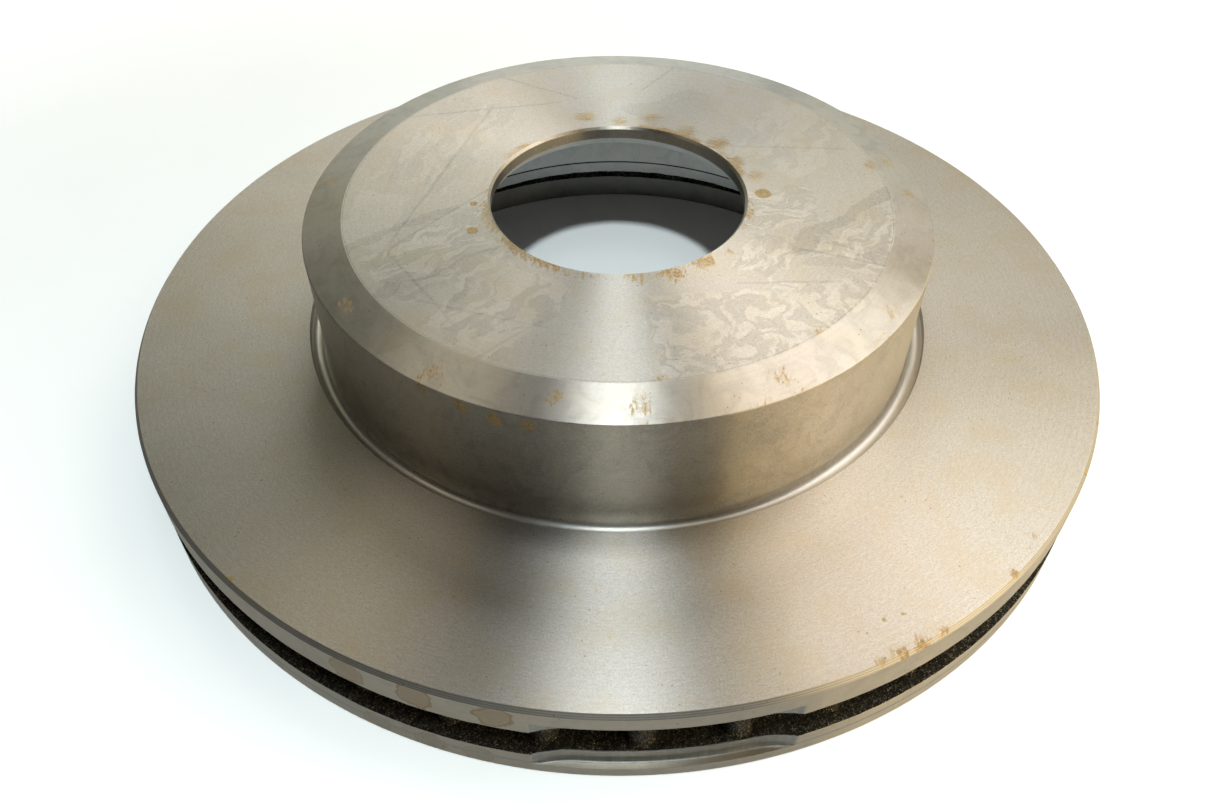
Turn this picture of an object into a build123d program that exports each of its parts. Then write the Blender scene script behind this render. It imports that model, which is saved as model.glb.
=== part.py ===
from build123d import *

import os
from math import cos, radians, sin

# A ventilated top-hat brake disc rotor, undrilled, in grey cast iron.
#
# The rotor is one casting. It is modelled as the regions that a foundry drawing names, each a
# solid that meets its neighbours face to face: the flange with its centre bore, the hat wall,
# the neck that joins the hat to the outboard ring, the two friction rings, and the radial vanes
# cast between the rings.
#
# Millimetres, +Z up along the axis of rotation, from the inboard friction face to the hat.
# The origin is the centre of the inboard friction face. The balance pocket faces -Y.

# Friction rings and the vent between them
disc_radius = 160.0
inboard_ring_thickness = 9.6
vent_height = 11.7
outboard_ring_thickness = 10.7
inboard_ring_bore_radius = 108.0
rim_bevel_radial = 1.1
rim_bevel_axial = 1.4
ring_bore_chamfer = 0.7

# Hat: a straight wall, a shallow bevel round a flat crown, and a turned inside
overall_height = 72.7
hat_radius = 99.6
hat_inner_radius = 90.5
crown_flat_radius = 87.2
crown_bevel_drop = 3.0
flange_thickness = 7.1
inner_corner_radius = 1.5

# Centre bore, with a small chamfer at the wheel side and a steeper lead-in at the hub side
bore_radius = 40.75
bore_chamfer = 0.8
lead_in_radial = 1.9
lead_in_axial = 2.9

# Relief groove between the hat wall and the outboard friction face
groove_radius = 2.5
groove_wall_depth = 1.1
wall_relief_depth = 0.15
wall_relief_height = 1.0
neck_radius = 106.4
neck_height = 34.0

# Inside of the neck: a thin tool groove, then a lead-in cone down to the vent
tool_groove_width = 0.9
tool_groove_depth = 0.5
tool_groove_drop = 3.8
neck_mouth_radius = 93.9

# Radial vanes
vane_count = 38
first_vane_angle = -87.2
vane_inner_radius = 110.0
vane_outer_radius = 156.0
vane_inner_half_width = 2.8
vane_outer_half_width = 3.3
vane_root_flare = 1.2

# Balance pocket milled into the rim across the vent
pocket_bottom = 4.9
pocket_top = 25.8
pocket_depth = 2.55
cutter_radius = 40.0
pocket_start_angle = -92.9
pocket_sweep = 15.9

vent_bottom = inboard_ring_thickness
vent_top = vent_bottom + vent_height
friction_face_height = vent_top + outboard_ring_thickness
flange_bottom = overall_height - flange_thickness
hat_corner_height = overall_height - crown_bevel_drop
wall_top = flange_bottom - inner_corner_radius
groove_axis_radius = hat_radius + groove_radius
groove_outer_radius = groove_axis_radius + groove_radius
groove_axis_height = friction_face_height - groove_wall_depth
relieved_wall_radius = hat_radius - wall_relief_depth
relief_top = friction_face_height + wall_relief_height
tool_groove_top = friction_face_height - tool_groove_drop
tool_groove_bottom = tool_groove_top - tool_groove_width
bore_wall_bottom = flange_bottom + lead_in_axial
bore_wall_top = overall_height - bore_chamfer

os.makedirs("parts", exist_ok=True)


# Mounting flange: the hat's crown, from the bore out to the wall, with its inside corner
with BuildPart() as mounting_flange:
    with BuildSketch(Plane.XZ):
        with BuildLine():
            Polyline(
                (hat_inner_radius - inner_corner_radius, flange_bottom),
                (bore_radius + lead_in_radial, flange_bottom),
                (bore_radius, bore_wall_bottom),
                (bore_radius, bore_wall_top),
                (bore_radius + bore_chamfer, overall_height),
                (crown_flat_radius, overall_height),
                (hat_radius, hat_corner_height),
                (hat_radius, wall_top),
                (hat_inner_radius, wall_top),
            )
            RadiusArc(
                (hat_inner_radius, wall_top),
                (hat_inner_radius - inner_corner_radius, flange_bottom),
                -inner_corner_radius,
            )
        make_face()
    revolve(axis=Axis.Z)
mounting_flange.part.label = "mounting_flange"
export_step(mounting_flange.part, "parts/mounting_flange.step")


# Hat wall: the plain cylinder between the neck and the flange
with BuildPart() as hat_wall:
    with BuildSketch(Plane.XZ):
        with BuildLine():
            Polyline(
                (hat_inner_radius, neck_height),
                (hat_radius, neck_height),
                (hat_radius, wall_top),
                (hat_inner_radius, wall_top),
                close=True,
            )
        make_face()
    revolve(axis=Axis.Z)
hat_wall.part.label = "hat_wall"
export_step(hat_wall.part, "parts/hat_wall.step")


# Neck ring: the foot of the hat wall, with the round-bottomed relief groove outside it
with BuildPart() as neck_ring:
    with BuildSketch(Plane.XZ):
        with BuildLine():
            Polyline(
                (relieved_wall_radius, groove_axis_height),
                (relieved_wall_radius, relief_top),
                (hat_radius, relief_top),
                (hat_radius, neck_height),
                (hat_inner_radius, neck_height),
                (hat_inner_radius, tool_groove_top),
                (hat_inner_radius + tool_groove_depth, tool_groove_top),
                (hat_inner_radius + tool_groove_depth, tool_groove_bottom),
                (neck_mouth_radius, vent_top),
                (neck_radius, vent_top),
                (neck_radius, friction_face_height),
                (groove_outer_radius, friction_face_height),
                (groove_outer_radius, groove_axis_height),
            )
            ThreePointArc(
                (groove_outer_radius, groove_axis_height),
                (groove_axis_radius, groove_axis_height - groove_radius),
                (relieved_wall_radius, groove_axis_height),
            )
        make_face()
    revolve(axis=Axis.Z)
neck_ring.part.label = "neck_ring"
export_step(neck_ring.part, "parts/neck_ring.step")


# The path of the milling cutter that took metal out of the rim, as the solid that it sweeps
cutter_path = CenterArc(
    (0, 0),
    disc_radius - pocket_depth + cutter_radius,
    pocket_start_angle,
    pocket_sweep,
)
with BuildPart() as balance_cut:
    with BuildSketch(Plane.XY.offset(pocket_bottom)):
        SlotArc(cutter_path, 2 * cutter_radius)
    extrude(amount=pocket_top - pocket_bottom)


# Outboard friction ring: the ring on the hat's side, with its bevelled rim
with BuildPart() as outboard_friction_ring:
    with BuildSketch(Plane.XZ):
        with BuildLine():
            Polyline(
                (neck_radius, vent_top),
                (disc_radius, vent_top),
                (disc_radius, friction_face_height - rim_bevel_axial),
                (disc_radius - rim_bevel_radial, friction_face_height),
                (neck_radius, friction_face_height),
                close=True,
            )
        make_face()
    revolve(axis=Axis.Z)
    add(balance_cut.part, mode=Mode.SUBTRACT)
outboard_friction_ring.part.label = "outboard_friction_ring"
export_step(outboard_friction_ring.part, "parts/outboard_friction_ring.step")


# Inboard friction ring: the free ring, carried by the vanes alone
with BuildPart() as inboard_friction_ring:
    with BuildSketch(Plane.XZ):
        with BuildLine():
            Polyline(
                (inboard_ring_bore_radius + ring_bore_chamfer, 0),
                (disc_radius - rim_bevel_radial, 0),
                (disc_radius, rim_bevel_axial),
                (disc_radius, vent_bottom),
                (inboard_ring_bore_radius, vent_bottom),
                (inboard_ring_bore_radius, ring_bore_chamfer),
                close=True,
            )
        make_face()
    revolve(axis=Axis.Z)
    add(balance_cut.part, mode=Mode.SUBTRACT)
inboard_friction_ring.part.label = "inboard_friction_ring"
export_step(inboard_friction_ring.part, "parts/inboard_friction_ring.step")


def vane_outline(growth):
    """A vane's plan outline: a bar with round noses, wider outwards, grown all round."""
    with Locations((vane_inner_radius + vane_inner_half_width, 0)):
        Circle(vane_inner_half_width + growth)
    with Locations((vane_outer_radius - vane_outer_half_width, 0)):
        Circle(vane_outer_half_width + growth)
    make_hull()


# Vanes: straight radial bars that fill the height of the vent, flared where they meet the rings
for index in range(vane_count):
    angle = radians(first_vane_angle + index * 360 / vane_count)
    outward = (cos(angle), sin(angle), 0)
    floor = Plane(origin=(0, 0, vent_bottom), x_dir=outward, z_dir=(0, 0, 1))
    roof = Plane(origin=(0, 0, vent_top), x_dir=outward, z_dir=(0, 0, 1))
    with BuildPart() as vane:
        with BuildSketch(floor):
            vane_outline(0)
        extrude(amount=vent_height)
        with BuildSketch(floor):
            vane_outline(vane_root_flare)
        with BuildSketch(floor.offset(vane_root_flare)):
            vane_outline(0)
        loft(ruled=True)
        with BuildSketch(roof.offset(-vane_root_flare)):
            vane_outline(0)
        with BuildSketch(roof):
            vane_outline(vane_root_flare)
        loft(ruled=True)
    name = f"vane_{index + 1:02d}"
    vane.part.label = name
    export_step(vane.part, f"parts/{name}.step")
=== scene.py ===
from collections import namedtuple
from math import acos, atan2, ceil, cos, degrees, hypot, pi, radians, sin, sqrt, tan

import bmesh
import bpy
import numpy as np
from mathutils import Matrix, Vector, noise


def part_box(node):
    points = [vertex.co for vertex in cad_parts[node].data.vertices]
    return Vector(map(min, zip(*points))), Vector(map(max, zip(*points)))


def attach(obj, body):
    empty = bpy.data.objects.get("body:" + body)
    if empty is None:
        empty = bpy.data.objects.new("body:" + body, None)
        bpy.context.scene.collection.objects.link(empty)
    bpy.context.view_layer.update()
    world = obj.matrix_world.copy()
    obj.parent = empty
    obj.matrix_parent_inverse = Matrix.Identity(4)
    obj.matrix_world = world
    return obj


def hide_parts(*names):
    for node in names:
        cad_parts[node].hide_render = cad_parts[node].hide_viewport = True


# The looks of an undrilled, ventilated brake disc rotor in grey cast iron: turned faces, a milled
# balance pocket and a sand-cast vent. Every CAD node is replaced by a finer mesh of the same shape.
#
# Sizes are in millimetres, as in the part's source, and meshes are made in metres.

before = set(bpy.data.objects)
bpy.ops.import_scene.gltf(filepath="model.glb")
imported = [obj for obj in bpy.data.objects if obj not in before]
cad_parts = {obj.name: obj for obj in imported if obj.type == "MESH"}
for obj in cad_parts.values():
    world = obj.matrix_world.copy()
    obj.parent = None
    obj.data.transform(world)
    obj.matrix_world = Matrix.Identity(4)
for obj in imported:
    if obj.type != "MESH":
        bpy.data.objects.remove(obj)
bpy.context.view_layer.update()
METRES = 0.001


def in_mm(length):
    """A length from the frame, in millimetres, to the nearest hundredth."""
    return round(length / METRES, 2)


# ---------------------------------------------------------------------------------------------
# Sizes
# ---------------------------------------------------------------------------------------------

# From the frame
_, inboard_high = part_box("inboard_friction_ring")
outboard_low, outboard_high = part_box("outboard_friction_ring")
_, neck_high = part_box("neck_ring")
flange_low, flange_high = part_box("mounting_flange")
disc_radius = in_mm(outboard_high.x)
vent_bottom = in_mm(inboard_high.z)
vent_top = in_mm(outboard_low.z)
face_height = in_mm(outboard_high.z)
neck_radius = in_mm(neck_high.x)
neck_height = in_mm(neck_high.z)
wall_top = in_mm(flange_low.z)
hat_radius = in_mm(flange_high.x)
overall_height = in_mm(flange_high.z)

# The details that the boxes don't show, as in the part's source
rim_bevel_radial = 1.1
rim_bevel_axial = 1.4
inboard_ring_bore_radius = 108.0
ring_bore_chamfer = 0.7
hat_inner_radius = 90.5
crown_flat_radius = 87.2
crown_bevel_drop = 3.0
flange_thickness = 7.1
inner_corner_radius = 1.5
bore_radius = 40.75
bore_chamfer = 0.8
lead_in_radial = 1.9
lead_in_axial = 2.9
groove_radius = 2.5
groove_wall_depth = 1.1
wall_relief_depth = 0.15
wall_relief_height = 1.0
tool_groove_width = 0.9
tool_groove_depth = 0.5
tool_groove_drop = 3.8
neck_mouth_radius = 93.9
vane_count = 38
first_vane_angle = -87.2
vane_inner_radius = 110.0
vane_outer_radius = 156.0
vane_inner_half_width = 2.8
vane_outer_half_width = 3.3
vane_root_flare = 1.2
pocket_bottom = 4.9
pocket_top = 25.8
pocket_depth = 2.55
cutter_radius = 40.0
pocket_start_angle = -92.9
pocket_sweep = 15.9

flange_bottom = overall_height - flange_thickness
hat_corner_height = overall_height - crown_bevel_drop
groove_outer_radius = hat_radius + 2 * groove_radius
groove_bottom = face_height - groove_wall_depth - groove_radius
relieved_wall_radius = hat_radius - wall_relief_depth
relief_top = face_height + wall_relief_height
tool_groove_top = face_height - tool_groove_drop
tool_groove_bottom = tool_groove_top - tool_groove_width
cutter_path_radius = disc_radius - pocket_depth + cutter_radius
# The angle past each end of the cutter's path over which its round side runs out of the rim
pocket_run_out = degrees(
    acos(
        (disc_radius**2 + cutter_path_radius**2 - cutter_radius**2)
        / (2 * disc_radius * cutter_path_radius)
    )
)

# Detail that only the looks need
crisp = 0.12  # rounding of a turned edge
worn = 0.3  # rounding of an edge that has been handled
pocket_fillet = 1.0  # the cutter's nose, in the corner between the pocket's wall and shelf
guard = 0.1  # distance from an edge to the first row of faces beside it
hat_columns = 720
ring_columns = 1200
grain_size = 0.75  # of the moulding sand, as it shows in the cast skin
grain_height = 0.13
swell_size = 5.0  # the slower unevenness of the cast skin
swell_height = 0.2
skin_fade = 0.8  # height from a cast face over which its relief dies out
vane_bury = 0.3  # how far a vane runs on into the rings, past their rough skin
vane_levels = 20
merge_distance = 0.002  # between vertices that are meant to be one, where the pocket closes up
sharp_angle = 35  # degrees between faces, above which an edge is drawn sharp


# ---------------------------------------------------------------------------------------------
# Node materials
# ---------------------------------------------------------------------------------------------


class Nodes:
    """The node tree of one material, with short ways to add the few kinds of node used here."""

    def __init__(self, name):
        self.material = bpy.data.materials.new(name)
        self.material.use_nodes = True
        self.tree = self.material.node_tree
        self.tree.nodes.clear()

    def add(self, kind, settings, inputs):
        """A node with these settings, and a number, colour or output for each named input."""
        node = self.tree.nodes.new(kind)
        for name, value in settings.items():
            setattr(node, name, value)
        for name, value in inputs.items():
            if isinstance(value, bpy.types.NodeSocket):
                self.tree.links.new(value, node.inputs[name])
            else:
                node.inputs[name].default_value = value
        return node

    def math(self, operation, first, second=0.0):
        return self.add("ShaderNodeMath", {"operation": operation}, {0: first, 1: second}).outputs[0]

    def vector(self, operation, first, second=(0, 0, 0)):
        node = self.add("ShaderNodeVectorMath", {"operation": operation}, {0: first, 1: second})
        return node.outputs["Value" if operation in ("LENGTH", "DISTANCE") else "Vector"]

    def combine(self, x, y, z=0.0):
        return self.add("ShaderNodeCombineXYZ", {}, {0: x, 1: y, 2: z}).outputs[0]

    def grey(self, shade):
        return self.add("ShaderNodeCombineColor", {}, {0: shade, 1: shade, 2: shade}).outputs[0]

    def rise(self, value, low, high, at_low=0.0, at_high=1.0):
        """A smooth step: at_low where value is below low, at_high above high."""
        limits = {"Value": value, "From Min": low, "From Max": high, "To Min": at_low, "To Max": at_high}
        return self.add("ShaderNodeMapRange", {"interpolation_type": "SMOOTHSTEP"}, limits).outputs[0]

    def noise(self, position, scale, detail=2.0, roughness=0.5, distortion=0.0):
        """Noise of about scale waves to the millimetre, from 0 to 1."""
        inputs = {"Vector": position, "Scale": scale, "Detail": detail}
        inputs.update({"Roughness": roughness, "Distortion": distortion})
        return self.add("ShaderNodeTexNoise", {}, inputs).outputs[0]

    def line_noise(self, distance, scale, detail=2.0):
        """Noise that only changes along one distance, as tool marks do."""
        inputs = {"W": distance, "Scale": scale, "Detail": detail}
        return self.add("ShaderNodeTexNoise", {"noise_dimensions": "1D"}, inputs).outputs[0]

    def cells(self, position, scale):
        """Distance to the nearest of scattered points."""
        return self.add("ShaderNodeTexVoronoi", {}, {"Vector": position, "Scale": scale}).outputs["Distance"]

    def blend(self, factor, first, second, kind="MIX"):
        """Colours mixed by factor. A Mix node's colour inputs are 6 and 7, and its colour output is 2."""
        settings = {"data_type": "RGBA", "blend_type": kind}
        return self.add("ShaderNodeMix", settings, {0: factor, 6: first, 7: second}).outputs[2]

    def bump(self, height, distance):
        """Height in units of distance, which is in millimetres."""
        return self.add("ShaderNodeBump", {}, {"Height": height, "Distance": distance * METRES}).outputs[0]

    def position(self):
        """The place on the rotor, in millimetres."""
        coordinates = self.tree.nodes.new("ShaderNodeTexCoord").outputs["Object"]
        return self.vector("MULTIPLY", coordinates, (1 / METRES, 1 / METRES, 1 / METRES))

    def parts_of(self, position):
        """Radius, height and bearing of a place. The bearing is in radians, from -Y."""
        x, y, z = self.add("ShaderNodeSeparateXYZ", {}, {0: position}).outputs
        radius = self.vector("LENGTH", self.vector("MULTIPLY", position, (1, 1, 0)))
        return radius, z, self.math("ARCTAN2", x, self.math("MULTIPLY", y, -1.0))

    def away_from(self, position, stain):
        """Distance from the middle of a stain."""
        angle = radians(stain.azimuth)
        centre = (stain.radius * cos(angle), stain.radius * sin(angle), stain.height)
        return self.vector("DISTANCE", position, centre)

    def local_axes(self, position, centre, turn, half_length, half_width):
        """How far along and across an oblong a place is, as shares of its half length and half width."""
        placing = {
            "Vector": position,
            "Location": (*centre, 0),
            "Rotation": (0, 0, turn),
            "Scale": (half_length, half_width, beyond_the_rotor),
        }
        local = self.add("ShaderNodeMapping", {"vector_type": "TEXTURE"}, placing).outputs[0]
        split = self.add("ShaderNodeSeparateXYZ", {}, {0: self.vector("ABSOLUTE", local)})
        return local, split.outputs[0], split.outputs[1]

    def surface(self, colour, roughness, metallic, normal, **values):
        """The shader itself. values are the same all over the surface."""
        inputs = {"Base Color": colour, "Roughness": roughness, "Metallic": metallic, "Normal": normal}
        shader = self.add("ShaderNodeBsdfPrincipled", {}, inputs)
        for name, value in values.items():
            shader.inputs[name.replace("_", " ").title()].default_value = value
        output = self.tree.nodes.new("ShaderNodeOutputMaterial")
        self.tree.links.new(shader.outputs[0], output.inputs[0])
        return shader

    def turned_surface(self, colour, roughness, metallic, normal, anisotropy):
        """A surface whose tool marks run round the axis, so that highlights spread across them."""
        shader = self.surface(
            colour, roughness, metallic, normal, anisotropic=anisotropy, anisotropic_rotation=quarter_turn
        )
        round_axis = self.add("ShaderNodeTangent", {"direction_type": "RADIAL", "axis": "Z"}, {})
        self.tree.links.new(round_axis.outputs[0], shader.inputs["Tangent"])
        return self.material


# A spot of rust or a water stain: where it is, its size, and how solidly it covers
Stain = namedtuple("Stain", "azimuth radius height size strength")
# A print that the greasy wrapper left on the crown: its centre, the way it lies, half its length and
# width, how many creases it has, and how much paler or darker it is than the rest
Print = namedtuple("Print", "x y turn length width creases tone")

beyond_the_rotor = 1000  # a scale so large that it leaves an axis out
quarter_turn = 0.25
on_hat_bevel = overall_height - 1.7
on_rim_bevel = face_height - 0.9

# Where the rust is on each face, and the water marks on the rim
crown_rust = [
    Stain(-82, 43, overall_height, 10, 0.46),
    Stain(-68, 44, overall_height, 12, 0.5),
    Stain(-54, 43, overall_height, 12, 0.5),
    Stain(-42, 45, overall_height, 9, 0.38),
    Stain(-15, 43, overall_height, 8, 0.42),
    Stain(1, 46.5, overall_height, 4.6, 1.0),
    Stain(14, 46, overall_height, 11, 0.44),
    Stain(27, 44, overall_height, 11, 0.48),
    Stain(42, 46, overall_height, 12, 0.48),
    Stain(58, 45, overall_height, 12, 0.47),
    Stain(76, 48, overall_height, 12, 0.46),
    Stain(90, 45, overall_height, 10, 0.47),
    Stain(104, 49, overall_height, 12, 0.46),
    Stain(-172, 46, overall_height, 2.2, 0.9),
    Stain(-155, 49, overall_height, 3.2, 1.0),
    Stain(-112, 43, overall_height, 6, 0.4),
    Stain(-82, 87, overall_height, 9, 0.4),
    Stain(-50, 86, overall_height, 7, 0.4),
    Stain(12, 86, overall_height, 11, 0.43),
]
bevel_rust = [
    Stain(-86, 94, on_hat_bevel, 12, 0.42),
    Stain(-62, 94, on_hat_bevel, 12, 0.4),
    Stain(-35, 95, on_hat_bevel, 11, 0.38),
    Stain(2, 94, on_hat_bevel, 9, 0.42),
    Stain(14, 92, on_hat_bevel + 0.5, 12, 0.45),
    Stain(-100, 93, on_hat_bevel, 9, 0.42),
    Stain(-121, 96, on_hat_bevel, 12, 0.44),
    Stain(-144, 95, on_hat_bevel, 12, 0.43),
    Stain(175, 94, on_hat_bevel, 9, 0.43),
]
wall_rust = [
    Stain(-121, hat_radius, 68, 6, 0.46),
    Stain(-114, hat_radius, 67, 7, 0.5),
    Stain(-108.5, hat_radius, 66, 7, 0.54),
    Stain(-103, hat_radius, 66.5, 7, 0.5),
    Stain(-40, hat_radius, 69, 6, 0.4),
]
face_rust = [
    Stain(-130, 158.5, face_height, 1.8, 0.8),
    Stain(-65, 158.5, face_height, 5, 0.46),
    Stain(-63, 159.5, face_height, 8, 0.48),
    Stain(-60.5, 159.5, face_height, 8, 0.47),
    Stain(-58, 159.5, face_height, 7, 0.44),
    Stain(-47.5, 158.5, face_height, 4, 0.52),
    Stain(-42, 156, face_height, 5, 0.42),
    Stain(-30, 159.8, on_rim_bevel, 2.4, 0.8),
    Stain(-22, 159.8, on_rim_bevel, 2.0, 0.8),
    Stain(-60, 150, face_height, 2.0, 0.46),
    Stain(-62, 149, face_height, 1.6, 0.46),
]
rim_stains = [
    Stain(-115, disc_radius, 26.5, 5.4, 0.8),
    Stain(-108, disc_radius, 27, 5.6, 1.0),
    Stain(-100.5, disc_radius, 26.5, 5.4, 1.0),
    Stain(-113, disc_radius, 4, 4.6, 0.5),
    Stain(-107.5, disc_radius, 4, 5.0, 0.6),
    Stain(-102.5, disc_radius, 4.5, 4.4, 0.5),
]
# What the wrapper left on the crown: its prints, and its folds from end to end
wrapper_prints = [
    Print(70, -13, 42, 25, 3.2, 0, -1.2),
    Print(78, -21, 52, 17, 7, 2, 1.1),
    Print(47, -7, 6, 17, 11, 4, 1.0),
    Print(44, -32, 60, 10, 8, 2, 1.1),
    Print(72, -32, -20, 14, 8, 2, 0.8),
    Print(44, -64, 98, 18, 36, 6, 0.9),
    Print(-34, -56, 60, 19, 16, 3, 1.2),
    Print(-50, -31, 40, 25, 14, 4, 1.1),
    Print(-66, -20, 35, 22, 2.2, 0, -0.9),
    Print(-52, -40, 38, 24, 1.8, 0, -0.9),
    Print(-36, -38, 52, 22, 2.0, 0, -0.9),
    Print(-77, -16, 80, 15, 9, 0, 0.5),
    Print(-58, 30, 70, 30, 14, 2, 0.5),
    Print(25, 45, 120, 20, 15, 0, -0.6),
    Print(60, 35, 60, 24, 16, 3, 0.6),
]
wrapper_folds = [
    ((-44, 58), (-69, -29)),
    ((-33, 12), (-69, -31)),
    ((-58, -54), (-18, -66)),
    ((-41, -82), (-20, -62)),
    ((-46, 77), (-14, 60)),
    ((-77, 46), (-20, 58)),
    ((8, 66), (21, 85)),
    ((38, 29), (78, 28)),
    ((34, -45), (66, -44)),
    ((54, -28), (84, -38)),
    ((-69, -31), (-44, -66)),
]

# Colours that lie on the bare metal
yellow_film = (0.60, 0.51, 0.35, 1)
brown_bloom = (0.60, 0.42, 0.19, 1)
pit_brown = (0.25, 0.19, 0.11, 1)
deep_rust = (0.40, 0.24, 0.05, 1)
light_rust = (0.72, 0.48, 0.12, 1)
water_brown = (0.46, 0.30, 0.15, 1)


def stain_cover(nodes, position, stains, edge):
    """How much each place is covered by flakes of rust: near stains, and along an edge if there is one."""
    radius, height, bearing = nodes.parts_of(position)
    cover = 0.0
    for stain in stains:
        away = nodes.away_from(position, stain)
        spot = nodes.math("MULTIPLY", nodes.rise(away, stain.size, 0.2), stain.strength)
        cover = nodes.math("MAXIMUM", cover, spot)
    if edge:
        edge_radius, strength = edge
        reach = 9.0
        from_edge = nodes.math("ABSOLUTE", nodes.math("SUBTRACT", radius, edge_radius))
        near = nodes.rise(from_edge, reach, 0.0, 0.0, strength)
        here = nodes.rise(nodes.noise(position, 0.05, 2.0), 0.35, 0.6, 0.35, 1.0)
        cover = nodes.math("MAXIMUM", cover, nodes.math("MULTIPLY", near, here))
    # The flakes are drawn out along the radius, as drips are
    drip = nodes.math("MULTIPLY", radius, 0.45)
    drip_place = nodes.combine(drip, nodes.math("MULTIPLY", bearing, radius), height)
    flakes = nodes.noise(drip_place, 0.55, 6.0, 0.72, 1.6)
    return nodes.rise(nodes.math("ADD", cover, flakes), 0.86, 0.99)


def water_marks(nodes, position, stains):
    """Dried water marks: pale inside, with a darker line round them."""
    outline_at = 1.3
    warp = nodes.math("MULTIPLY", nodes.noise(position, 0.25, 3.0), 0.9)
    marks = 0.0
    for stain in stains:
        away = nodes.math("DIVIDE", nodes.away_from(position, stain), stain.size)
        warped = nodes.math("ADD", away, warp)
        edge = nodes.math("ABSOLUTE", nodes.math("SUBTRACT", warped, outline_at))
        line = nodes.math("MULTIPLY", nodes.rise(edge, 0.16, 0.03), stain.strength)
        fill = nodes.math("MULTIPLY", nodes.rise(warped, outline_at, 1.1), 0.6 * stain.strength)
        marks = nodes.math("MAXIMUM", marks, nodes.math("MAXIMUM", line, fill))
    return marks


def wrapper_marks(nodes, position):
    """The prints and folds of a wrapper on the crown: above 0 where it is paler, below where darker."""
    wander = {"Vector": position, "Scale": 0.09, "Detail": 3.0}
    drift = nodes.add("ShaderNodeTexNoise", {}, wander).outputs[1]
    drift = nodes.vector("MULTIPLY", nodes.vector("SUBTRACT", drift, (0.5, 0.5, 0.5)), (14, 14, 0))
    loose = nodes.vector("ADD", position, drift)
    tone = 0.0
    for mark in wrapper_prints:
        centre = (mark.x, mark.y)
        local, along, across = nodes.local_axes(loose, centre, radians(mark.turn), mark.length, mark.width)
        edge = nodes.rise(nodes.math("MAXIMUM", along, across), 1.0, 0.9)
        strength = mark.tone
        if mark.creases:
            swirl = nodes.noise(nodes.vector("MULTIPLY", local, (1.1, 2.6, 0)), 1.0, 5.0, 0.5, 0.8)
            bands = nodes.math("SINE", nodes.math("MULTIPLY", swirl, 2 * pi * mark.creases))
            strength = nodes.math("MULTIPLY", nodes.rise(bands, -0.7, 0.7, -0.6, 0.9), mark.tone)
        tone = nodes.math("ADD", tone, nodes.math("MULTIPLY", edge, strength))
    fold_half_width = 0.8
    folds = 0.0
    straight = nodes.vector("ADD", position, nodes.vector("MULTIPLY", drift, (0.12, 0.12, 0)))
    for start, end in wrapper_folds:
        run = Vector(end) - Vector(start)
        centre = (Vector(start) + Vector(end)) / 2
        turn = atan2(run.y, run.x)
        _, along, across = nodes.local_axes(straight, centre, turn, run.length / 2, fold_half_width)
        fold = nodes.math("MULTIPLY", nodes.rise(along, 1.0, 0.9), nodes.rise(across, 1.0, 0.2))
        folds = nodes.math("MAXIMUM", folds, fold)
    return nodes.math("SUBTRACT", tone, folds)


def aged_colour(nodes, position, tint, shade, grain):
    """The tint of bare metal at this shade, filmed with yellow and brown, and with a few pits."""
    colour = nodes.blend(1.0, (*tint, 1), nodes.grey(shade), "MULTIPLY")
    clouds = nodes.rise(nodes.noise(position, 0.07, 7.0, 0.68), 0.46, 0.66)
    film = nodes.math("MULTIPLY", clouds, 0.10 + 0.12 * grain)
    colour = nodes.blend(film, colour, yellow_film)
    specks = nodes.rise(nodes.noise(position, 0.8, 5.0, 0.7), 0.57, 0.69)
    bloom = nodes.math("MULTIPLY", specks, nodes.rise(nodes.noise(position, 0.05, 3.0), 0.45, 0.65))
    colour = nodes.blend(nodes.math("MULTIPLY", bloom, 0.35 * grain), colour, brown_bloom)
    pits = nodes.rise(nodes.cells(position, 0.42), 0.14, 0.06)
    picked = nodes.rise(nodes.noise(position, 0.09, 2.0), 0.5, 0.62)
    pits = nodes.math("MULTIPLY", nodes.math("MULTIPLY", pits, picked), 0.7)
    return nodes.blend(pits, colour, pit_brown)


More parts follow.
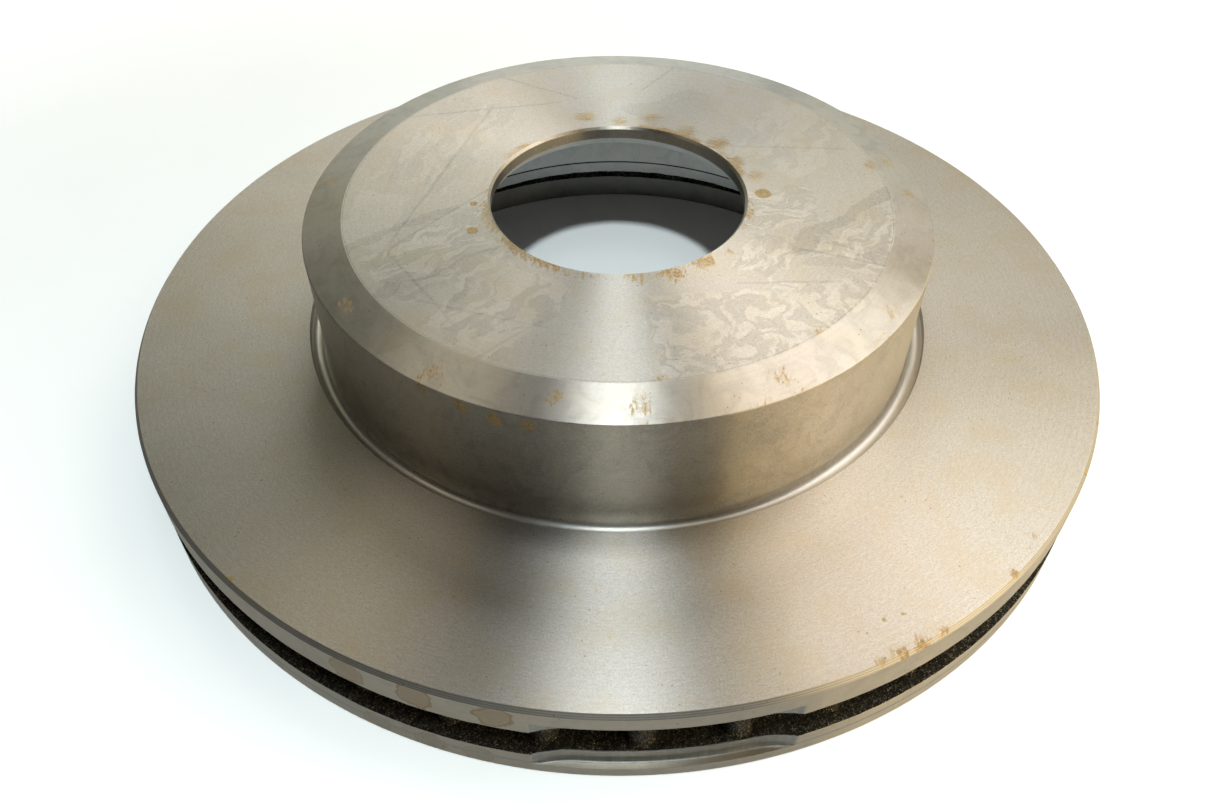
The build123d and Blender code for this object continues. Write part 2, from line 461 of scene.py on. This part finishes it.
def turned_iron(
    name,
    tint,
    roughness,
    anisotropy,
    grain=1.0,
    rust=(),
    rusty_edge=None,
    water=(),
    wrapper=False,
    dirt=0.0,
    tool_and_shade_lines=(),
):
    """Iron turned on a lathe.

    grain scales the mottling of the surface, dirt darkens it in smudges, rusty_edge is the radius of
    an edge that has rusted and how much, and the last argument gives the radii of thin dark lines:
    deeper tool lines on the crown and the rim bevel, and painted shade along the relief groove's edges.
    """
    nodes = Nodes(name)
    position = nodes.position()
    radius, height, bearing = nodes.parts_of(position)
    across = nodes.math("ADD", radius, height)
    dash_place = nodes.combine(nodes.math("MULTIPLY", across, 1.7), nodes.math("MULTIPLY", bearing, 70.0))
    dashes = nodes.noise(dash_place, 1.0, 3.0, 0.6)
    lines = nodes.line_noise(across, 0.9, 5.0)
    speckle = nodes.noise(position, 2.0, 4.0, 0.75)
    cloud = nodes.noise(position, 0.045, 5.0, 0.6)

    shade = nodes.rise(dashes, 0.25, 0.75, 1 - 0.04 * grain, 1 + 0.04 * grain)
    shade = nodes.math("ADD", shade, nodes.rise(lines, 0.25, 0.75, -0.02, 0.02))
    shade = nodes.math("ADD", shade, nodes.rise(speckle, 0.25, 0.75, -0.11 * grain, 0.11 * grain))
    shade = nodes.math("ADD", shade, nodes.rise(cloud, 0.3, 0.7, -0.03, 0.03))
    # Thin dark lines at given radii: deeper tool lines, and painted shade at the relief groove's edges
    for dark_line_at in tool_and_shade_lines:
        away = nodes.math("ABSOLUTE", nodes.math("SUBTRACT", radius, dark_line_at))
        shade = nodes.math("SUBTRACT", shade, nodes.rise(away, 0.11, 0.04, 0.0, 0.35))
    patchiness = nodes.math("ADD", speckle, cloud)
    rough = nodes.rise(patchiness, 0.7, 1.3, 0.92 * roughness, 1.08 * roughness)
    if dirt:
        smudge = nodes.noise(position, 0.11, 4.0, 0.55, 1.5)
        shade = nodes.math("SUBTRACT", shade, nodes.rise(smudge, 0.42, 0.7, 0.0, dirt))
    if wrapper:
        texture = nodes.rise(nodes.noise(position, 0.5, 5.0, 0.65, 1.0), 0.3, 0.7, 0.6, 1.2)
        prints = nodes.math("MULTIPLY", wrapper_marks(nodes, position), texture)
        shade = nodes.math("ADD", shade, nodes.math("MULTIPLY", prints, 0.17))
        rough = nodes.math("ADD", rough, nodes.math("MULTIPLY", prints, 0.02))

    colour = aged_colour(nodes, position, tint, shade, grain)
    metallic = 1.0
    if rust:
        cover = stain_cover(nodes, position, rust, rusty_edge)
        patchy = nodes.rise(nodes.noise(position, 1.1, 3.0), 0.35, 0.65)
        ochre = nodes.blend(patchy, deep_rust, light_rust)
        colour = nodes.blend(nodes.math("MULTIPLY", cover, 0.66), colour, ochre)
        metallic = nodes.rise(cover, 0, 1, 1.0, 0.6)
        rough = nodes.math("ADD", rough, nodes.math("MULTIPLY", cover, 0.12))
    if water:
        cover = water_marks(nodes, position, water)
        colour = nodes.blend(nodes.math("MULTIPLY", cover, 0.8), colour, water_brown)
    normal = nodes.bump(nodes.math("ADD", lines, nodes.math("MULTIPLY", speckle, 0.6)), 0.012)
    return nodes.turned_surface(colour, rough, metallic, normal, anisotropy)


def cast_skin(name):
    """The skin that moulding sand leaves: near black, rough and full of small glinting grains. The
    near-black ground is partly the iron's own colour and partly painted shade of the vent.
    """
    nodes = Nodes(name)
    position = nodes.position()
    grain = nodes.noise(position, 1.3, 4.0, 0.7)
    patch = nodes.noise(position, 0.12, 3.0)
    facets = nodes.rise(nodes.cells(position, 2.0), 0.36, 0.14)
    glint = nodes.math("MULTIPLY", facets, nodes.rise(grain, 0.42, 0.55))
    # Near-black ground: the skin's own colour, darkened further as painted shade of the vent
    dark_skin_and_shade = nodes.blend(patch, (0.010, 0.010, 0.008, 1), (0.030, 0.028, 0.022, 1))
    colour = nodes.blend(nodes.rise(grain, 0.45, 0.72), dark_skin_and_shade, (0.15, 0.14, 0.115, 1))
    colour = nodes.blend(glint, colour, (0.62, 0.58, 0.45, 1))
    rough = nodes.rise(glint, 0, 1, 0.7, 0.38)
    metallic = nodes.rise(glint, 0, 1, 0.35, 0.95)
    nodes.surface(colour, rough, metallic, nodes.bump(grain, 0.5))
    return nodes.material


def milled_face(name):
    """The balance pocket: fresh metal with the scallops and feed lines of an end mill."""
    nodes = Nodes(name)
    position = nodes.position()
    radius, height, bearing = nodes.parts_of(position)
    feed = nodes.line_noise(nodes.math("MULTIPLY", bearing, disc_radius), 0.55, 3.0)
    lines = nodes.line_noise(nodes.math("ADD", height, nodes.math("MULTIPLY", radius, 0.8)), 1.4, 3.0)
    marks = nodes.math("ADD", nodes.math("MULTIPLY", feed, 0.5), lines)
    worn_off = nodes.noise(position, 0.6, 4.0, 0.6)
    patches = nodes.rise(worn_off, 0.3, 0.7, -0.07, 0.07)
    shade = nodes.math("ADD", nodes.rise(marks, 0.5, 1.0, 0.82, 1.12), patches)
    colour = nodes.blend(1.0, (0.50, 0.49, 0.46, 1), nodes.grey(shade), "MULTIPLY")
    rough = nodes.rise(worn_off, 0.3, 0.7, 0.36, 0.46)
    return nodes.turned_surface(colour, rough, 1.0, nodes.bump(marks, 0.05), 0.6)


# ---------------------------------------------------------------------------------------------
# Geometry helpers
# ---------------------------------------------------------------------------------------------

# What a stretch of outline is made into: its material, and how far apart its rows of faces are
Finish = namedtuple("Finish", "material spacing")
# A corner of an outline, its rounding, and the finish of the run that follows it
Corner = namedtuple("Corner", "radius height finish rounding pull", defaults=(0.0, 0.0))
# A row of vertices round the axis. The pocket pulls it inwards by pull times its own depth,
# and back by across and up by along times its fillet.
Row = namedtuple("Row", "radius height finish pull across along", defaults=(0.0, 0.0))


def arc_rows(before, corner, after, last_finish):
    """The rows round a corner: one for a sharp corner, several for a rounded one."""
    here = Vector((corner.radius, corner.height))
    if not corner.rounding:
        return [Row(corner.radius, corner.height, corner.finish, corner.pull)]
    came = (here - Vector((before.radius, before.height))).normalized()
    goes = (Vector((after.radius, after.height)) - here).normalized()
    turn = atan2(came.x * goes.y - came.y * goes.x, came.dot(goes))
    side = Vector((-came.y, came.x)) * (1 if turn > 0 else -1)
    start = here - came * corner.rounding * tan(abs(turn) / 2)
    centre = start + side * corner.rounding
    coarse_step, fine_step = radians(15), radians(6)
    arc_step = coarse_step if corner.rounding < 1 else fine_step
    steps = max(2, ceil(abs(turn) / arc_step))
    rows = []
    for step in range(steps + 1):
        angle = turn * step / steps
        spoke = Matrix.Rotation(angle, 2) @ (start - centre)
        point = centre + spoke
        finish = last_finish if step < steps / 2 else corner.finish
        rows.append(Row(point.x, point.y, finish, corner.pull))
    return rows


def run_rows(start, end):
    """The rows between two others, with a guard row close to each."""
    length = hypot(end.radius - start.radius, end.height - start.height)
    if length < 4 * guard:
        return []
    steps = max(1, ceil((length - 2 * guard) / start.finish.spacing))
    places = [guard + (length - 2 * guard) * step / steps for step in range(steps + 1)]
    rows = []
    for place in places:
        share = place / length
        radius, height, pull = (
            getattr(start, what) + share * (getattr(end, what) - getattr(start, what))
            for what in ("radius", "height", "pull")
        )
        rows.append(Row(radius, height, start.finish, pull))
    return rows


def outline(corners, closed=True):
    """The rows of an outline that runs anticlockwise, seen with the radius to the right."""
    count = len(corners)
    bends = []
    for index, corner in enumerate(corners):
        before, after = corners[index - 1], corners[(index + 1) % count]
        if not closed and index in (0, count - 1):
            corner = corner._replace(rounding=0)
        bends.append(arc_rows(before, corner, after, before.finish))
    rows = []
    for index, bend in enumerate(bends):
        rows += bend
        if closed or index < count - 1:
            rows += run_rows(bend[-1], bends[(index + 1) % count][0])
    return rows


def sand(point, seed):
    """Height of the cast skin at a point, in millimetres."""
    shift = Vector((seed, 2 * seed, 3 * seed))
    grain = noise.noise(point / grain_size + shift) + 0.5 * noise.noise(point / grain_size * 2.1 + shift)
    return grain_height * grain + swell_height * noise.noise(point / swell_size + shift)


def pocket_depth_at(azimuth):
    """How far the milling cutter went into the rim at an azimuth in degrees."""
    past = max(pocket_start_angle - azimuth, azimuth - pocket_start_angle - pocket_sweep, 0)
    if past >= pocket_run_out:
        return 0.0
    reach = sqrt(cutter_radius**2 - (cutter_path_radius * sin(radians(past))) ** 2)
    return disc_radius - cutter_path_radius * cos(radians(past)) + reach


def pocket_columns():
    """Azimuths for a ring with the pocket: even, with three times as many where the pocket runs out."""
    step = 360 / ring_columns
    cleared = 2  # degrees, each side of an end, that the closer azimuths take
    closer = 3
    closer_each_side = 18
    ends = (pocket_start_angle - pocket_run_out, pocket_start_angle + pocket_sweep + pocket_run_out)
    azimuths = []
    for index in range(ring_columns):
        azimuth = -180 + index * step
        if all(abs(azimuth - end) > cleared for end in ends):
            azimuths.append(azimuth)
    for end in ends:
        offsets = range(-closer_each_side, closer_each_side + 1)
        azimuths += [end + offset * step / closer for offset in offsets]
    return sorted(azimuths)


def mesh_piece(name, vertices, faces, materials, indices):
    """A smooth-shaded piece that rides on the rotor. Vertices are in millimetres."""
    mesh = bpy.data.meshes.new(name)
    mesh.from_pydata([Vector(v) * METRES for v in vertices], [], faces)
    for material in materials:
        mesh.materials.append(material)
    mesh.polygons.foreach_set("material_index", indices)
    shape = bmesh.new()
    shape.from_mesh(mesh)
    bmesh.ops.remove_doubles(shape, verts=shape.verts, dist=merge_distance * METRES)
    shape.to_mesh(mesh)
    shape.free()
    mesh.shade_smooth()
    mesh.set_sharp_from_angle(angle=radians(sharp_angle))
    piece = bpy.data.objects.new(name, mesh)
    bpy.context.scene.collection.objects.link(piece)
    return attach(piece, "root")


def lathe(name, rows, azimuths, cast_level=None, shelf_side=0):
    """A closed body turned from rows. Near cast_level its faces get the relief of the cast skin."""
    materials = []
    for row in rows:
        if row.finish.material not in materials:
            materials.append(row.finish.material)
    depths = np.array([pocket_depth_at(azimuth) for azimuth in azimuths])
    fillets = np.minimum(pocket_fillet, depths)
    angles = np.radians(azimuths)
    vertices = []
    for row in rows:
        radii = row.radius - row.pull * depths + row.across * fillets
        heights = row.height + shelf_side * row.along * fillets
        ring = np.stack([radii * np.cos(angles), radii * np.sin(angles), heights], 1)
        if cast_level is not None:
            skin = 1 - abs(row.height - cast_level) / skin_fade
            if skin > 0:
                ring[:, 2] += [skin * sand(Vector(point), 1.0) for point in ring]
        vertices.append(ring)
    columns, faces, indices = len(azimuths), [], []
    for row_index, row in enumerate(rows):
        low = row_index * columns
        high = (row_index + 1) % len(rows) * columns
        index = materials.index(row.finish.material)
        for column in range(columns):
            beside = (column + 1) % columns
            faces.append((low + column, low + beside, high + beside, high + column))
            cut = row.pull == 1 and min(depths[column], depths[beside]) > 0
            indices.append(materials.index(milled.material) if cut else index)
    return mesh_piece(name, np.concatenate(vertices), faces, materials, indices)


# ---------------------------------------------------------------------------------------------
# Pieces
# ---------------------------------------------------------------------------------------------

bare_iron = (0.62, 0.59, 0.55)
shaded_iron = (0.62, 0.62, 0.60)
dull_iron = (0.58, 0.55, 0.51)
warm_iron = (0.70, 0.62, 0.51)
brown_iron = (0.56, 0.52, 0.455)
# A lighter tint for the relief groove: a painted highlight
groove_highlight_tint = (0.68, 0.66, 0.63)
# A darker tint for the inboard ring's bore: painted shade inside the disc
ring_bore_shade_tint = (0.42, 0.41, 0.38)
# Near black for the tool groove inside the neck: painted shade in the groove
groove_shade_black = (0.045, 0.045, 0.04)
rim_scores = [disc_radius - rim_bevel_radial * share for share in (0.12, 0.45, 0.8)]
# Painted shade: dark lines along the relief groove, at its wall side and at its outer edge
groove_edge_shade = [hat_radius, hat_radius + 0.15, groove_outer_radius - 0.2, groove_outer_radius - 0.05]
crown_iron = turned_iron(
    "crown_iron",
    bare_iron,
    0.38,
    0.95,
    1.4,
    crown_rust,
    rusty_edge=(bore_radius + bore_chamfer, 0.5),
    wrapper=True,
    tool_and_shade_lines=[crown_flat_radius - 0.5],
)
bevel_iron = turned_iron(
    "bevel_iron", bare_iron, 0.32, 0.92, 0.6, bevel_rust, rusty_edge=(hat_radius, 0.34), dirt=0.14
)
face_iron = turned_iron("face_iron", bare_iron, 0.38, 0.95, 1.9, face_rust)
wall_iron = turned_iron("wall_iron", brown_iron, 0.32, 0.92, 1.6, wall_rust, dirt=0.14)
# The relief groove: its lighter tint is a painted highlight, and its edge lines are painted shade
groove_iron = turned_iron("groove_iron", groove_highlight_tint, 0.33, 0.72, 0.5, tool_and_shade_lines=groove_edge_shade)
# The tool groove inside the neck, painted near black as shade
tool_groove_shade_iron = turned_iron("tool_groove_shade_iron", groove_shade_black, 0.6, 0.5, 0.5)
rim_iron = turned_iron("rim_iron", warm_iron, 0.32, 0.92, 0.5, water=rim_stains, dirt=0.1)
rim_edge_iron = turned_iron("rim_edge_iron", dull_iron, 0.5, 0.8, 0.5, face_rust, tool_and_shade_lines=rim_scores)
inside_iron = turned_iron("inside_iron", shaded_iron, 0.42, 0.90, 0.6, dirt=0.12)
# The inboard ring's bore: the darker tint is painted shade, and the smudges are dirt
ring_bore_iron = turned_iron("ring_bore_iron", ring_bore_shade_tint, 0.42, 0.90, 0.6, dirt=0.12)
milled_iron = milled_face("milled_iron")
skin_iron = cast_skin("cast_skin")

crown = Finish(crown_iron, 4.0)
bevel = Finish(bevel_iron, 3.0)
hat_side = Finish(wall_iron, 4.0)
groove = Finish(groove_iron, 2.0)
bore = Finish(wall_iron, 1.5)
inside = Finish(inside_iron, 4.0)
tool_groove = Finish(tool_groove_shade_iron, 1.0)
ring_bore = Finish(ring_bore_iron, 4.0)
friction_face = Finish(face_iron, 4.0)
rim = Finish(rim_iron, 2.5)
rim_edge = Finish(rim_edge_iron, 1.0)
milled = Finish(milled_iron, 1.5)
deep_skin = Finish(skin_iron, 2.2)
edge_skin = Finish(skin_iron, 0.55)

even_columns = [-180 + 360 * index / hat_columns for index in range(hat_columns)]
notched_columns = pocket_columns()


def make_flange():
    """The crown of the hat, with the centre bore."""
    corners = [
        Corner(bore_radius + lead_in_radial, flange_bottom, inside, crisp),
        Corner(hat_inner_radius, flange_bottom, inside, inner_corner_radius),
        Corner(hat_inner_radius, wall_top, inside),
        Corner(hat_radius, wall_top, hat_side),
        Corner(hat_radius, hat_corner_height, bevel, worn),
        Corner(crown_flat_radius, overall_height, crown, worn),
        Corner(bore_radius + bore_chamfer, overall_height, bore, crisp),
        Corner(bore_radius, overall_height - bore_chamfer, bore, crisp),
        Corner(bore_radius, flange_bottom + lead_in_axial, inside, crisp),
    ]
    piece = lathe("turned_mounting_flange", outline(corners), even_columns)
    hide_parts("mounting_flange")


def make_hat_wall():
    """The plain cylinder of the hat."""
    corners = [
        Corner(hat_inner_radius, neck_height, inside),
        Corner(hat_radius, neck_height, hat_side),
        Corner(hat_radius, wall_top, inside),
        Corner(hat_inner_radius, wall_top, inside),
    ]
    piece = lathe("turned_hat_wall", outline(corners), even_columns)
    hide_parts("hat_wall")


def make_neck():
    """The foot of the hat wall, with the relief groove outside and the tool groove inside."""
    corners = [
        Corner(neck_mouth_radius, vent_top, edge_skin, crisp),
        Corner(neck_radius, vent_top, inside),
        Corner(neck_radius, face_height, friction_face),
        Corner(groove_outer_radius, face_height, groove, crisp),
        Corner(groove_outer_radius, groove_bottom, groove, groove_radius),
        Corner(relieved_wall_radius, groove_bottom, hat_side, groove_radius),
        Corner(relieved_wall_radius, relief_top, hat_side),
        Corner(hat_radius, relief_top, hat_side),
        Corner(hat_radius, neck_height, inside),
        Corner(hat_inner_radius, neck_height, inside),
        Corner(hat_inner_radius, tool_groove_top, tool_groove, crisp),
        Corner(hat_inner_radius + tool_groove_depth, tool_groove_top, tool_groove),
        Corner(hat_inner_radius + tool_groove_depth, tool_groove_bottom, inside),
    ]
    piece = lathe("turned_neck_ring", outline(corners), even_columns, cast_level=vent_top)
    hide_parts("neck_ring")


def shelf_rows(height):
    """The pocket's corner between wall and shelf, as rows that close up where there is no pocket."""
    steps = 5
    rows = []
    for step in range(steps + 1):
        angle = pi / 2 * step / steps
        rows.append(Row(disc_radius, height, milled, 1.0, 1 - cos(angle), 1 - sin(angle)))
    return rows


def make_outboard_ring():
    """The friction ring on the hat's side, with its bevelled rim and its half of the pocket."""
    pulled_from = disc_radius - 3 * pocket_depth
    below = [
        Corner(neck_radius, vent_top, deep_skin),
        Corner(pulled_from, vent_top, edge_skin),
        Corner(disc_radius, vent_top, rim, crisp, 1.0),
        Corner(disc_radius, pocket_top - pocket_fillet, rim, 0.0, 1.0),
    ]
    above = [
        Corner(disc_radius, pocket_top, rim),
        Corner(disc_radius, face_height - rim_bevel_axial, rim_edge, crisp),
        Corner(disc_radius - rim_bevel_radial, face_height, friction_face, crisp),
        Corner(neck_radius, face_height, inside),
    ]
    shelf = shelf_rows(pocket_top)
    rows = outline(below, closed=False)[:-1] + shelf + outline(above, closed=False)
    piece = lathe("turned_outboard_ring", rows, notched_columns, vent_top, -1)
    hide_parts("outboard_friction_ring")


def make_inboard_ring():
    """The free friction ring, with the lower half of the pocket."""
    pulled_from = disc_radius - 3 * pocket_depth
    below = [
        Corner(inboard_ring_bore_radius, vent_bottom, ring_bore, crisp),
        Corner(inboard_ring_bore_radius, ring_bore_chamfer, ring_bore, crisp),
        Corner(inboard_ring_bore_radius + ring_bore_chamfer, 0, friction_face, crisp),
        Corner(disc_radius - rim_bevel_radial, 0, rim, crisp),
        Corner(disc_radius, rim_bevel_axial, rim, crisp),
        Corner(disc_radius, pocket_bottom, rim),
    ]
    above = [
        Corner(disc_radius, pocket_bottom + pocket_fillet, rim, 0.0, 1.0),
        Corner(disc_radius, vent_bottom, edge_skin, crisp, 1.0),
        Corner(pulled_from, vent_bottom, deep_skin),
        Corner(inboard_ring_bore_radius, vent_bottom, inside),
    ]
    shelf = shelf_rows(pocket_bottom)[::-1]
    rows = outline(below, closed=False) + shelf + outline(above, closed=False)[1:-1]
    piece = lathe("turned_inboard_ring", rows, notched_columns, vent_bottom, 1)
    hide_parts("inboard_friction_ring")


def vane_plan(growth):
    """Points round a vane's plan, nose to nose, grown all round, before it is turned into place."""
    inner = Vector((vane_inner_radius + vane_inner_half_width, 0))
    outer = Vector((vane_outer_radius - vane_outer_half_width, 0))
    lean = atan2(vane_outer_half_width - vane_inner_half_width, (outer - inner).length)
    points = []
    nose_steps, side_steps = 18, 40
    for step in range(nose_steps + 1):
        angle = -pi / 2 - lean + (pi + 2 * lean) * step / nose_steps
        points.append(outer + Vector((cos(angle), sin(angle))) * (vane_outer_half_width + growth))
    start = outer + Vector((-sin(lean), cos(lean))) * (vane_outer_half_width + growth)
    end = inner + Vector((-sin(lean), cos(lean))) * (vane_inner_half_width + growth)
    points += [start.lerp(end, step / side_steps) for step in range(1, side_steps)]
    for step in range(nose_steps + 1):
        angle = pi / 2 + lean + (pi - 2 * lean) * step / nose_steps
        points.append(inner + Vector((cos(angle), sin(angle))) * (vane_inner_half_width + growth))
    for step in range(1, side_steps):
        point = end.lerp(start, step / side_steps)
        points.append(Vector((point.x, -point.y)))
    return points


def make_vane(index):
    """One sand-cast vane, filleted into both rings."""
    turn = Matrix.Rotation(radians(first_vane_angle + index * 360 / vane_count), 3, "Z")
    levels = np.linspace(vent_bottom - vane_bury, vent_top + vane_bury, vane_levels)
    vertices, faces = [], []
    for level in levels:
        depth = min(level - vent_bottom, vent_top - level)
        into = min(max(vane_root_flare - depth, 0), vane_root_flare)
        growth = vane_root_flare - sqrt(vane_root_flare**2 - into**2)
        plan = vane_plan(growth)
        core = vane_plan(growth - 1)
        for point, inward in zip(plan, core):
            place = turn @ Vector((*point, level))
            outward = turn @ Vector((*(point - inward), 0))
            vertices.append(place + outward * sand(place, 1.0))
    around = len(vane_plan(0))
    for level in range(len(levels) - 1):
        for step in range(around):
            beside = (step + 1) % around
            low, high = level * around, (level + 1) * around
            faces.append((low + step, low + beside, high + beside, high + step))
    faces.append(tuple(reversed(range(around))))
    faces.append(tuple(range((len(levels) - 1) * around, len(levels) * around)))
    name = f"vane_{index + 1:02d}"
    piece = mesh_piece(f"cast_{name}", vertices, faces, [skin_iron], [0] * len(faces))
    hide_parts(name)


make_flange()
make_hat_wall()
make_neck()
make_outboard_ring()
make_inboard_ring()
for vane in range(vane_count):
    make_vane(vane)


# ---------------------------------------------------------------------------------------------
# Floor, light and camera
# ---------------------------------------------------------------------------------------------


def make_floor():
    """A plain pale floor. Round the disc it is darker in reflections than it looks: painted shade, a
    grey that falls from 0.62 under the hat to 0.27 beyond the rim. Seen directly, it also shines
    with painted light, more and more away from the disc."""
    floor_radius = 4  # metres
    below_the_disc = 0.05
    painted_light_from, painted_light_to = 200, 800
    nodes = Nodes("pale_floor")
    position = nodes.position()
    direct = nodes.tree.nodes.new("ShaderNodeLightPath").outputs["Is Camera Ray"]
    from_middle = nodes.vector("LENGTH", position)
    seen = nodes.blend(nodes.noise(position, 0.02), (0.84, 0.84, 0.84, 1), (0.87, 0.87, 0.87, 1))
    # Painted shade, for reflections only: a grey that falls from under the hat to beyond the rim
    reflected_shade = nodes.grey(nodes.rise(from_middle, neck_radius, disc_radius, 0.62, 0.27))
    shader = nodes.surface(
        nodes.blend(direct, reflected_shade, seen), 0.9, 0.0, nodes.bump(nodes.noise(position, 0.5), 0.01)
    )
    # Painted light, seen directly only: the floor shines, more and more away from the disc
    painted_light = nodes.rise(from_middle, painted_light_from, painted_light_to, 0.02, 0.9)
    shader.inputs["Emission Color"].default_value = (1, 1, 1, 1)
    nodes.tree.links.new(nodes.math("MULTIPLY", painted_light, direct), shader.inputs["Emission Strength"])
    bpy.ops.mesh.primitive_circle_add(
        vertices=128, radius=floor_radius, fill_type="NGON", location=(0, 0, -below_the_disc * METRES)
    )
    floor = bpy.context.object
    floor.name = "floor"
    floor.data.materials.append(nodes.material)
    return floor


def make_camera():
    """The view from in front, looking down at 43 degrees, a little off centre."""
    distance = 379.4
    elevation = radians(42.67)
    aim_height = 1.2
    yaw, pitch, roll = radians(-0.47), radians(-2.63), radians(0.15)
    lens = 30.41
    aim = Vector((0, 0, aim_height))
    place = aim + distance * Vector((0, -cos(elevation), sin(elevation)))
    ahead = (aim - place).normalized()
    right = ahead.cross(Vector((0, 0, 1))).normalized()
    up = right.cross(ahead)
    ahead = (ahead + tan(yaw) * right + tan(pitch) * up).normalized()
    right = ahead.cross(Vector((0, 0, 1))).normalized()
    up = right.cross(ahead)
    level_right = right
    right = cos(roll) * level_right + sin(roll) * up
    up = cos(roll) * up - sin(roll) * level_right
    data = bpy.data.cameras.new("camera")
    data.lens = lens
    data.clip_start = 0.01
    camera = bpy.data.objects.new("camera", data)
    axes = Matrix((right, up, -ahead)).transposed().to_4x4()
    camera.matrix_world = Matrix.Translation(place * METRES) @ axes
    bpy.context.scene.collection.objects.link(camera)
    bpy.context.scene.camera = camera


def make_softbox(name, azimuth, elevation, width, height, radiance, only_on=None):
    """A soft box that faces the rotor. Its place and size are angles in degrees, seen from there."""
    distance = 1.0
    sides = [2 * distance * tan(radians(angle) / 2) for angle in (width, height)]
    brightest = max(radiance)
    data = bpy.data.lights.new(name, "AREA")
    data.shape = "RECTANGLE"
    data.size, data.size_y = sides
    data.energy = pi * sides[0] * sides[1] * brightest
    data.color = [channel / brightest for channel in radiance]
    light = bpy.data.objects.new(name, data)
    a, e = radians(azimuth), radians(elevation)
    place = Vector((cos(a) * cos(e), sin(a) * cos(e), sin(e))) * distance
    light.location = place
    light.rotation_euler = (-place).to_track_quat("-Z", "Y").to_euler()
    bpy.context.scene.collection.objects.link(light)
    if only_on is not None:
        receivers = bpy.data.collections.new(f"{name}_receivers")
        receivers.objects.link(only_on)
        light.light_linking.receiver_collection = receivers


def make_lights(floor):
    """A cool strip overhead, a large warm panel on the right, and a paler backdrop behind."""
    make_softbox("overhead_front", -88, 70, 11, 12, (7.6, 8.4, 8.5))
    make_softbox("overhead", -86, 86, 12, 20, (1.4, 1.5, 1.5))
    make_softbox("overhead_back", 90, 80, 12, 10, (5.0, 5.2, 5.1))
    make_softbox("overhead_right", 0, 75, 40, 6, (1.25, 1.05, 0.67))
    make_softbox("front_low", -90, 13, 10, 8, (0.17, 0.18, 0.18))
    make_softbox("right_panel_top", 22, 63, 41, 18, (1.9, 1.7, 1.5))
    make_softbox("right_panel", 15, 45, 42, 18, (2.1, 2.0, 1.8))
    make_softbox("right_middle", 0, 27, 92, 18, (0.9, 0.8, 0.7))
    make_softbox("right_low", 11, 9, 45, 18, (2.7, 2.1, 0.9))
    make_softbox("right_front_low", -34, 9, 45, 18, (4.7, 3.7, 2.0))
    make_softbox("back_right", 62, 36, 24, 36, (0.83, 0.74, 0.57))
    make_softbox("back", 90, 36, 24, 36, (1.35, 1.35, 1.25))
    make_softbox("back_low", 78, 9, 90, 18, (0.45, 0.57, 0.56))
    make_softbox("back_left", 118, 36, 24, 36, (0.35, 0.35, 0.25))
    make_softbox("left_high", 157, 63, 41, 18, (0.57, 0.51, 0.38))
    make_softbox("floor_key", -90, 60, 2.5, 2.5, (1150, 1300, 1330), floor)


def make_world():
    """A plain white surround, which gives the rotor almost no light of its own."""
    world = bpy.data.worlds.new("surround")
    world.use_nodes = True
    tree = world.node_tree
    direct = tree.nodes.new("ShaderNodeLightPath").outputs["Is Camera Ray"]
    strength = tree.nodes.new("ShaderNodeMapRange")
    strength.inputs["To Min"].default_value = 0.02
    strength.inputs["To Max"].default_value = 0.92
    tree.links.new(direct, strength.inputs["Value"])
    background = tree.nodes["Background"]
    background.inputs["Color"].default_value = (1, 1, 1, 1)
    tree.links.new(strength.outputs[0], background.inputs["Strength"])
    bpy.context.scene.world = world


make_camera()
make_lights(make_floor())
make_world()
bpy.context.scene.view_settings.view_transform = "Standard"
